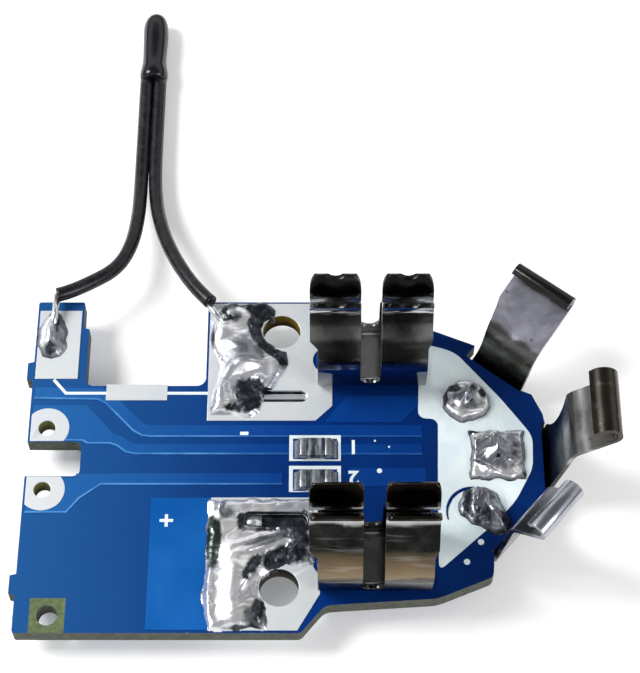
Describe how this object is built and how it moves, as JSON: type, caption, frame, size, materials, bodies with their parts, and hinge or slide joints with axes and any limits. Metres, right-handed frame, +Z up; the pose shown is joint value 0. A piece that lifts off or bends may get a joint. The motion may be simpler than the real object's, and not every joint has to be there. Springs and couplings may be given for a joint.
{
  "type": "battery management board",
  "caption": "Notched circuit board with tulip blade clips, hooked spring contacts at its rounded nose, chip resistors, soldered power lands and a thermistor bead on two stiff leads.",
  "frame": {"origin": "on the board's centreline, on the underside of its laminate, level with the power holes to within a fraction of a millimetre", "axes": "+X towards the rounded nose with the spring contacts, +Y towards the thermistor, +Z up out of the component side"},
  "size_m": [0.0377, 0.0496, 0.0118],
  "materials": {
    "laminate": "glass laminate under a glossy blue mask",
    "tinned_copper": "smooth tin over copper",
    "clip_nickel": "polished nickel plate over copper alloy",
    "contact_nickel": "satin nickel plate over spring alloy",
    "solder": "bright, uneven solder",
    "chip_body": "black glaze",
    "chip_cap": "tinned",
    "bead_resin": "glossy dipped resin",
    "lead_sleeve": "satin insulation",
    "bare_wire": "tinned"
  },
  "bodies": {
    "root": {"board": "laminate", "minus_copper": "tinned_copper", "plus_copper": "tinned_copper", "clip_lands": "tinned_copper", "thermistor_land": "tinned_copper", "side_land": "tinned_copper", "tap_land_upper": "tinned_copper", "tap_land_lower": "tinned_copper", "contact_land_temp": "tinned_copper", "contact_land_mid": "tinned_copper", "contact_land_high": "tinned_copper", "chip_lands": "tinned_copper", "clip_minus": "clip_nickel", "clip_plus": "clip_nickel", "clip_minus_solder": "solder", "clip_plus_solder": "solder", "contact_temp": "contact_nickel", "contact_mid": "contact_nickel", "contact_high": "contact_nickel", "solder_minus": "solder", "solder_plus": "solder", "solder_thermistor": "solder", "solder_temp": "solder", "solder_mid": "solder", "solder_high": "solder", "resistor_1": "chip_body", "resistor_2": "chip_body", "resistor_1_caps": "chip_cap", "resistor_2_caps": "chip_cap", "resistor_1_solder": "solder", "resistor_2_solder": "solder", "thermistor_bead": "bead_resin", "lead_left": "lead_sleeve", "lead_right": "lead_sleeve", "wire_left": "bare_wire", "wire_right": "bare_wire"}
  },
  "joints": []
}
